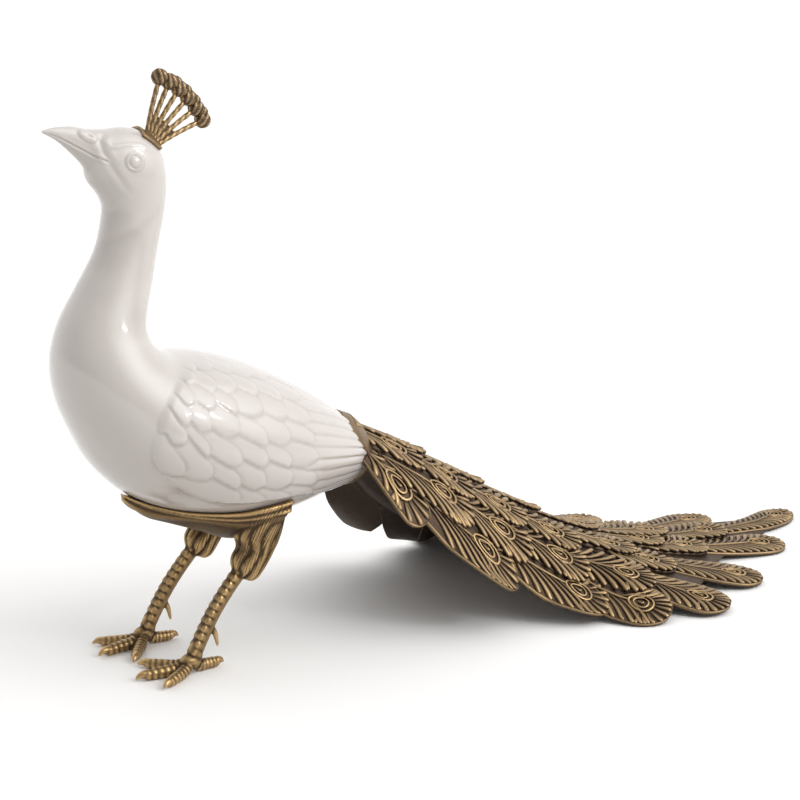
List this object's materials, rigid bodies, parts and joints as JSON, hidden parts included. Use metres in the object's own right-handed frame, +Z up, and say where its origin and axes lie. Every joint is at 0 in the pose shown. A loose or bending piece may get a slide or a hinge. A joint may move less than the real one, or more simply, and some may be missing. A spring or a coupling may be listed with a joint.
{
  "type": "peacock figurine",
  "caption": "Standing peacock in glazed white porcelain on a cast brass cradle with legs, with a brass crest and a long trailing brass train; a free-standing ornament.",
  "frame": {"origin": "on the floor, under the centre of the whole figure's box", "axes": "+Z up; the beak points to -X and the train runs to +X; the bird's left side is towards -Y"},
  "size_m": [0.8688, 0.3808, 0.4966],
  "materials": {
    "white_porcelain": "clear glossy glaze",
    "crest_brass": "antique brown patina with worn crowns",
    "leg_brass": "antique brown patina with worn crowns",
    "train_brass": "antique brown patina with worn crowns"
  },
  "bodies": {
    "root": {"porcelain_body": "white_porcelain", "crest": "crest_brass", "leg_cradle": "leg_brass", "train": "train_brass"}
  },
  "joints": []
}
